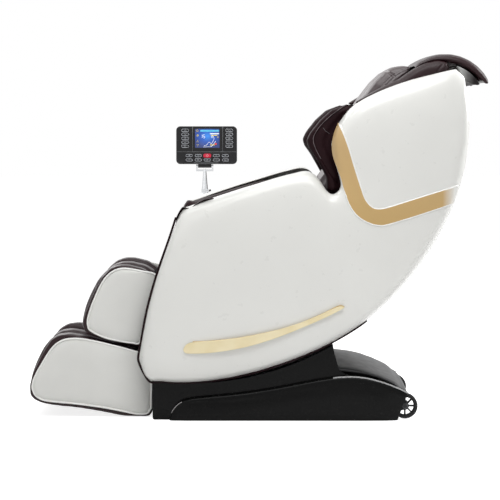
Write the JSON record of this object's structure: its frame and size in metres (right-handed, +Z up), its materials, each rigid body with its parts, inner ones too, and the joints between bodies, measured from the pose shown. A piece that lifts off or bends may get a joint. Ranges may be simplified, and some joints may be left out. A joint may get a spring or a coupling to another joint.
{
  "type": "massage chair",
  "caption": "Reclining massage chair: shell cabin rolling on a curved track, lifting leg rest with sliding foot section, massage carriage and a control tablet on a post.",
  "frame": {"origin": "on the floor under the middle of the bounding box", "axes": "+X towards the back of the chair, +Y towards the sitter's right, +Z up"},
  "size_m": [1.4538, 0.7376, 1.1542],
  "materials": {
    "frame_steel": "black powder coat",
    "bright_steel": "ground, lightly oiled",
    "motor_casting": "die cast, matt",
    "black_plastic": "moulded ABS, glossy",
    "inner_plastic": "moulded, matt",
    "roller_nylon": "cast nylon",
    "wheel_rubber": "matt tread and hub",
    "foot_rubber": "matt",
    "white_shell": "pearl white, semi-gloss",
    "gold_trim": "champagne gold, satin",
    "light_lens": "frosted warm diffuser",
    "leather": "dark brown synthetic leather",
    "board": "raw plywood",
    "chrome": "polished",
    "tablet_black": "black with printed lines",
    "key_rubber": "soft keypad",
    "power_red": "red key"
  },
  "bodies": {
    "base": {"left_base_rail": "frame_steel", "right_base_rail": "frame_steel", "base_cross_tubes": "frame_steel", "roller_brackets": "frame_steel", "recline_gearmotor": "motor_casting", "control_box": "inner_plastic", "air_pump": "inner_plastic", "pedestal": "black_plastic", "left_base_cover": "black_plastic", "right_base_cover": "black_plastic", "rear_deck": "black_plastic", "rear_panel": "black_plastic", "base_feet": "foot_rubber"},
    "front_rollers": {"front_track_rollers": "roller_nylon"},
    "rear_rollers": {"rear_track_rollers": "roller_nylon"},
    "pinion": {"drive_pinion": "bright_steel"},
    "left_wheel": {"left_wheel": "wheel_rubber"},
    "right_wheel": {"right_wheel": "wheel_rubber"},
    "cabin": {"left_cheek": "frame_steel", "right_cheek": "frame_steel", "cabin_cross_tubes": "frame_steel", "arc_rails": "bright_steel", "drive_rack": "bright_steel", "seat_board": "board", "belly_pan": "black_plastic", "rear_shell": "white_shell", "left_side_shell": "white_shell", "right_side_shell": "white_shell", "left_gold_band": "gold_trim", "right_gold_band": "gold_trim", "left_light_bar": "light_lens", "right_light_bar": "light_lens", "edge_trims": "leather", "seat_cushion": "leather", "back_cushion": "leather", "neck_pillow": "leather", "left_shoulder_wing": "leather", "right_shoulder_wing": "leather", "left_arm_pad": "leather", "right_arm_pad": "leather", "left_head_pad": "leather", "right_head_pad": "leather", "hood_pad": "leather", "hood_shell": "white_shell", "back_rails": "bright_steel", "leg_gearmotor": "motor_casting", "tablet_foot": "chrome"},
    "carriage": {"massage_carriage": "motor_casting"},
    "kneader": {"kneading_shaft": "bright_steel"},
    "leg_rest": {"leg_frame": "frame_steel", "calf_pad": "leather", "calf_side_panels": "white_shell"},
    "foot_rest": {"foot_pad": "leather", "foot_side_panels": "white_shell", "foot_slide_rods": "bright_steel"},
    "tablet_post": {"tablet_post": "chrome"},
    "tablet": {"tablet_case": "tablet_black"},
    "keys": {"tablet_keys": "key_rubber"},
    "power_key": {"power_key": "power_red"}
  },
  "joints": [
    {"name": "cabin_recline", "type": "hinge", "parent": "base", "child": "cabin", "pos_m": [-0.216, 0, 1.014], "axis": [0, 1, 0], "range_deg": [0, 25]},
    {"name": "front_roller_spin", "type": "hinge", "parent": "base", "child": "front_rollers", "pos_m": [-0.27644, 0, 0.14971], "axis": [0, 1, 0], "continuous": true},
    {"name": "rear_roller_spin", "type": "hinge", "parent": "base", "child": "rear_rollers", "pos_m": [0.05173, 0, 0.19001], "axis": [0, 1, 0], "continuous": true},
    {"name": "pinion_spin", "type": "hinge", "parent": "base", "child": "pinion", "pos_m": [-0.216, 0, 0.154], "axis": [0, 1, 0], "continuous": true},
    {"name": "left_wheel_spin", "type": "hinge", "parent": "base", "child": "left_wheel", "pos_m": [0.461, -0.268, 0.043], "axis": [0, 1, 0], "continuous": true},
    {"name": "right_wheel_spin", "type": "hinge", "parent": "base", "child": "right_wheel", "pos_m": [0.461, 0.268, 0.043], "axis": [0, 1, 0], "continuous": true},
    {"name": "leg_lift", "type": "hinge", "parent": "cabin", "child": "leg_rest", "pos_m": [-0.312, 0, 0.46], "axis": [0, 1, 0], "range_deg": [0, 80]},
    {"name": "foot_extend", "type": "slide", "parent": "leg_rest", "child": "foot_rest", "axis": [-0.2699, 0, -0.9629], "range_m": [0, 0.14]},
    {"name": "massage_travel", "type": "slide", "parent": "cabin", "child": "carriage", "axis": [0.606, 0, 0.7955], "range_m": [0, 0.4]},
    {"name": "kneading_spin", "type": "hinge", "parent": "carriage", "child": "kneader", "pos_m": [0.13673, 0, 0.43994], "axis": [0, 1, 0], "continuous": true},
    {"name": "tablet_swivel", "type": "hinge", "parent": "cabin", "child": "tablet_post", "pos_m": [-0.171, -0.309, 0.72], "axis": [0, 0, 1], "range_deg": [-120, 120]},
    {"name": "tablet_tilt", "type": "hinge", "parent": "tablet_post", "child": "tablet", "pos_m": [-0.171, -0.309, 0.803], "axis": [1, 0, 0], "range_deg": [-25, 25]},
    {"name": "keys_press", "type": "slide", "parent": "tablet", "child": "keys", "axis": [0, 1, 0], "range_m": [0, 0.001], "stiffness_N_per_m": 500, "springref_m": -0.0005},
    {"name": "power_key_press", "type": "slide", "parent": "tablet", "child": "power_key", "axis": [0, 1, 0], "range_m": [0, 0.001], "stiffness_N_per_m": 300, "springref_m": -0.0005}
  ],
  "couplings": [
    {"joint": "front_roller_spin", "follows": "cabin_recline", "ratio": -35.083},
    {"joint": "rear_roller_spin", "follows": "cabin_recline", "ratio": -35.083},
    {"joint": "pinion_spin", "follows": "cabin_recline", "ratio": -22.889},
    {"joint": "foot_extend", "follows": "leg_lift", "m_per_rad": 0.1}
  ]
}
